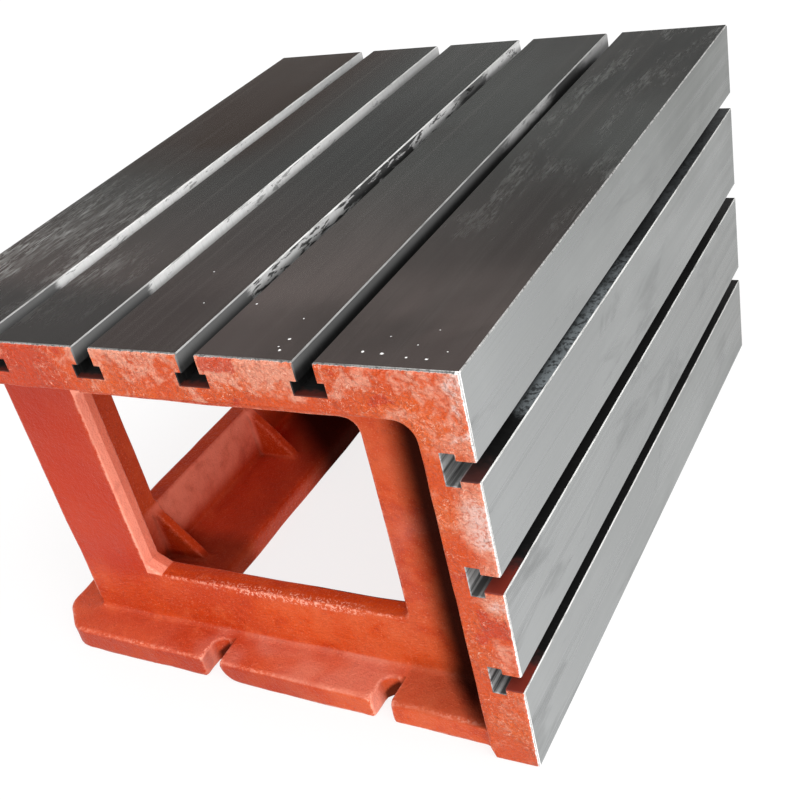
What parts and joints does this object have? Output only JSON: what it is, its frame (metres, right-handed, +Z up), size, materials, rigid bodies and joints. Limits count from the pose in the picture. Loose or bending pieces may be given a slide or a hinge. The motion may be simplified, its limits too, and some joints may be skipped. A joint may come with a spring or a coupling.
{
  "type": "t-slot box table",
  "caption": "Cast iron box table with T-slots in its top and one side, windowed end and side walls, and a slotted foot flange.",
  "frame": {"origin": "centre of the footprint, on the floor under the foot flange", "axes": "+X towards the slotted side plate, +Y along the T-slots towards the end away from the viewer, +Z up"},
  "size_m": [0.6, 0.75, 0.415],
  "materials": {
    "casting": "red paint on the cast faces, bare planed iron on the top and the slotted side"
  },
  "bodies": {
    "root": {"table_casting": "casting"}
  },
  "joints": []
}
